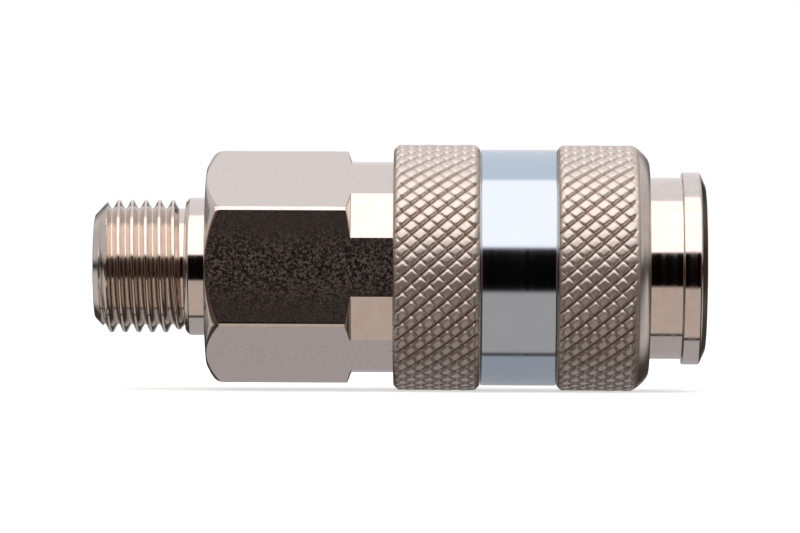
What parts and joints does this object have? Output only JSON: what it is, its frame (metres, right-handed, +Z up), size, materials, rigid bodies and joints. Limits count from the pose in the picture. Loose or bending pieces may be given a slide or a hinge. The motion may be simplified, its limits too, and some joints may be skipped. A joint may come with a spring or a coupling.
{
  "type": "quick coupling socket",
  "caption": "Quick coupling socket with a male pipe thread, hexagon, sprung knurled sleeve that slides back to free its locking balls, and a self-closing valve.",
  "frame": {"origin": "on the axis, in the plane where the male thread meets its collar", "axes": "+X along the axis from the thread towards the nose, +Z up, a flat of the hexagon faces -Y"},
  "size_m": [0.0603, 0.0244, 0.0244],
  "materials": {
    "nickel_plate": "nickel-plated brass, satin",
    "bright_chrome": "bright chrome",
    "black_rubber": "matt rubber",
    "white_plastic": "plain plastic",
    "spring_steel": "bright wire",
    "plain_brass": "bare machined brass",
    "ball_steel": "polished"
  },
  "bodies": {
    "body": {"threaded_body": "nickel_plate", "socket_body": "nickel_plate", "body_gasket": "black_rubber", "valve_guide": "plain_brass", "stop_ring": "spring_steel", "plug_seal": "black_rubber", "seal_backup_ring": "white_plastic", "valve_spring": "spring_steel"},
    "sleeve_spring": {"sleeve_spring": "spring_steel"},
    "sleeve": {"locking_sleeve": "nickel_plate", "centre_band": "bright_chrome"},
    "valve": {"valve_poppet": "plain_brass", "valve_seal": "black_rubber"},
    "ball_1": {"locking_ball_1": "ball_steel"},
    "ball_2": {"locking_ball_2": "ball_steel"},
    "ball_3": {"locking_ball_3": "ball_steel"},
    "ball_4": {"locking_ball_4": "ball_steel"},
    "ball_5": {"locking_ball_5": "ball_steel"},
    "ball_6": {"locking_ball_6": "ball_steel"},
    "ball_7": {"locking_ball_7": "ball_steel"},
    "ball_8": {"locking_ball_8": "ball_steel"}
  },
  "joints": [
    {"name": "sleeve_spin", "type": "hinge", "parent": "body", "child": "sleeve_spring", "pos_m": [0.03325, 0, 0], "axis": [1, 0, 0], "continuous": true},
    {"name": "sleeve_slide", "type": "slide", "parent": "sleeve_spring", "child": "sleeve", "axis": [-1, 0, 0], "range_m": [0, 0.004], "stiffness_N_per_m": 1800, "springref_m": -0.006, "deforming": ["sleeve_spring"]},
    {"name": "valve_slide", "type": "slide", "parent": "body", "child": "valve", "axis": [-1, 0, 0], "range_m": [0, 0.0045], "stiffness_N_per_m": 500, "springref_m": -0.008, "deforming": ["valve_spring"]},
    {"name": "ball_1_lift", "type": "slide", "parent": "body", "child": "ball_1", "axis": [0, -0.9239, 0.3827], "range_m": [0, 0.00106]},
    {"name": "ball_2_lift", "type": "slide", "parent": "body", "child": "ball_2", "axis": [0, -0.3827, 0.9239], "range_m": [0, 0.00106]},
    {"name": "ball_3_lift", "type": "slide", "parent": "body", "child": "ball_3", "axis": [0, 0.3827, 0.9239], "range_m": [0, 0.00106]},
    {"name": "ball_4_lift", "type": "slide", "parent": "body", "child": "ball_4", "axis": [0, 0.9239, 0.3827], "range_m": [0, 0.00106]},
    {"name": "ball_5_lift", "type": "slide", "parent": "body", "child": "ball_5", "axis": [0, 0.9239, -0.3827], "range_m": [0, 0.00106]},
    {"name": "ball_6_lift", "type": "slide", "parent": "body", "child": "ball_6", "axis": [0, 0.3827, -0.9239], "range_m": [0, 0.00106]},
    {"name": "ball_7_lift", "type": "slide", "parent": "body", "child": "ball_7", "axis": [0, -0.3827, -0.9239], "range_m": [0, 0.00106]},
    {"name": "ball_8_lift", "type": "slide", "parent": "body", "child": "ball_8", "axis": [0, -0.9239, -0.3827], "range_m": [0, 0.00106]}
  ],
  "couplings": [
    {"joint": "ball_1_lift", "follows": "sleeve_slide", "ratio": 0.2625},
    {"joint": "ball_2_lift", "follows": "sleeve_slide", "ratio": 0.2625},
    {"joint": "ball_3_lift", "follows": "sleeve_slide", "ratio": 0.2625},
    {"joint": "ball_4_lift", "follows": "sleeve_slide", "ratio": 0.2625},
    {"joint": "ball_5_lift", "follows": "sleeve_slide", "ratio": 0.2625},
    {"joint": "ball_6_lift", "follows": "sleeve_slide", "ratio": 0.2625},
    {"joint": "ball_7_lift", "follows": "sleeve_slide", "ratio": 0.2625},
    {"joint": "ball_8_lift", "follows": "sleeve_slide", "ratio": 0.2625}
  ]
}
